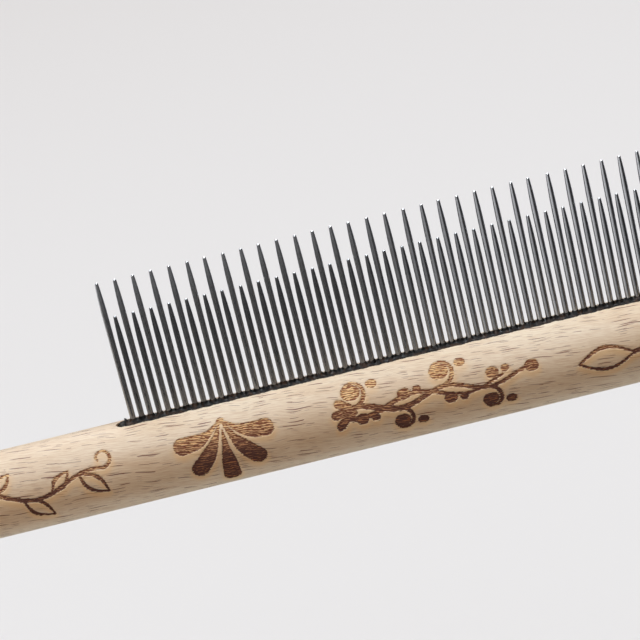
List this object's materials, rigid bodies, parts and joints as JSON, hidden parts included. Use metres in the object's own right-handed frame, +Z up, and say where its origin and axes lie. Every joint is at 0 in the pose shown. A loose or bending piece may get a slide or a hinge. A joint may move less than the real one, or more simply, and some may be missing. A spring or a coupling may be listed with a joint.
{
  "type": "dematting comb",
  "caption": "Pet grooming comb with a round beech handle and one row of alternating long and short tapered steel pins, set in an epoxy-filled slot along its top.",
  "frame": {"origin": "on the handle's axis, at the middle of the plain grip between the butt end and the slot", "axes": "+X along the handle from the grip towards the pins; +Z up the pins; +Y completes the right-hand set"},
  "size_m": [0.2456, 0.02, 0.0553],
  "materials": {
    "beech": "satin",
    "spine_steel": "machined",
    "black_epoxy": "gloss",
    "long_pin_steel": "polished",
    "short_pin_steel": "polished"
  },
  "bodies": {
    "root": {"handle": "beech", "spine": "spine_steel", "epoxy_bed": "black_epoxy", "long_pin_01": "long_pin_steel", "long_pin_02": "long_pin_steel", "long_pin_03": "long_pin_steel", "long_pin_04": "long_pin_steel", "long_pin_05": "long_pin_steel", "long_pin_06": "long_pin_steel", "long_pin_07": "long_pin_steel", "long_pin_08": "long_pin_steel", "long_pin_09": "long_pin_steel", "long_pin_10": "long_pin_steel", "long_pin_11": "long_pin_steel", "long_pin_12": "long_pin_steel", "long_pin_13": "long_pin_steel", "long_pin_14": "long_pin_steel", "long_pin_15": "long_pin_steel", "long_pin_16": "long_pin_steel", "long_pin_17": "long_pin_steel", "long_pin_18": "long_pin_steel", "long_pin_19": "long_pin_steel", "long_pin_20": "long_pin_steel", "long_pin_21": "long_pin_steel", "long_pin_22": "long_pin_steel", "long_pin_23": "long_pin_steel", "long_pin_24": "long_pin_steel", "long_pin_25": "long_pin_steel", "long_pin_26": "long_pin_steel", "long_pin_27": "long_pin_steel", "long_pin_28": "long_pin_steel", "long_pin_29": "long_pin_steel", "long_pin_30": "long_pin_steel", "long_pin_31": "long_pin_steel", "long_pin_32": "long_pin_steel", "long_pin_33": "long_pin_steel", "short_pins_01": "short_pin_steel", "short_pins_02": "short_pin_steel", "short_pins_03": "short_pin_steel", "short_pins_04": "short_pin_steel", "short_pins_05": "short_pin_steel", "short_pins_06": "short_pin_steel", "short_pins_07": "short_pin_steel", "short_pins_08": "short_pin_steel", "short_pins_09": "short_pin_steel", "short_pins_10": "short_pin_steel", "short_pins_11": "short_pin_steel", "short_pins_12": "short_pin_steel", "short_pins_13": "short_pin_steel", "short_pins_14": "short_pin_steel", "short_pins_15": "short_pin_steel", "short_pins_16": "short_pin_steel"}
  },
  "joints": []
}
